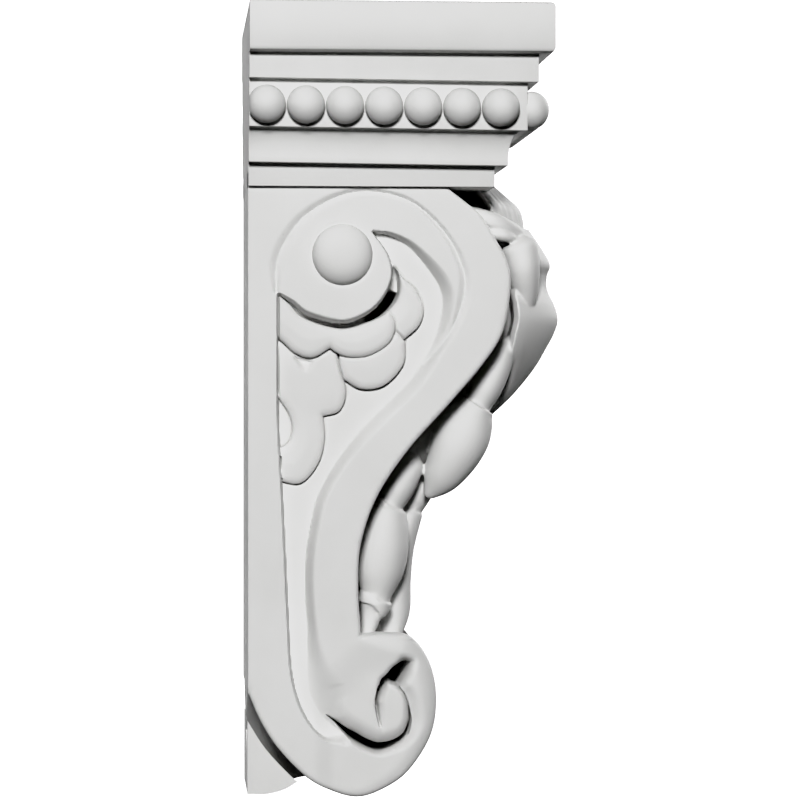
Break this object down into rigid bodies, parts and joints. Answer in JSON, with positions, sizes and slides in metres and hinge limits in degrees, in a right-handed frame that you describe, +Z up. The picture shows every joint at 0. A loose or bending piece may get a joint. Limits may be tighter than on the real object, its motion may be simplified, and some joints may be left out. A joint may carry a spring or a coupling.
{
  "type": "leaf corbel",
  "caption": "Small decorative wall corbel: a square moulded cap with a bead row over a scrolled bracket, with leaf lobes on its sides and a leaf and husks down its front.",
  "frame": {"origin": "middle of the flat back, on the wall plane: half way across and half way up", "axes": "+Z up, +Y into the wall, so the front looks along -Y, and +X across, to the right of someone who faces the corbel"},
  "size_m": [0.108, 0.1065, 0.2599],
  "materials": {
    "primer": "matt white factory primer on cast polyurethane"
  },
  "bodies": {
    "root": {"corbel": "primer"}
  },
  "joints": []
}
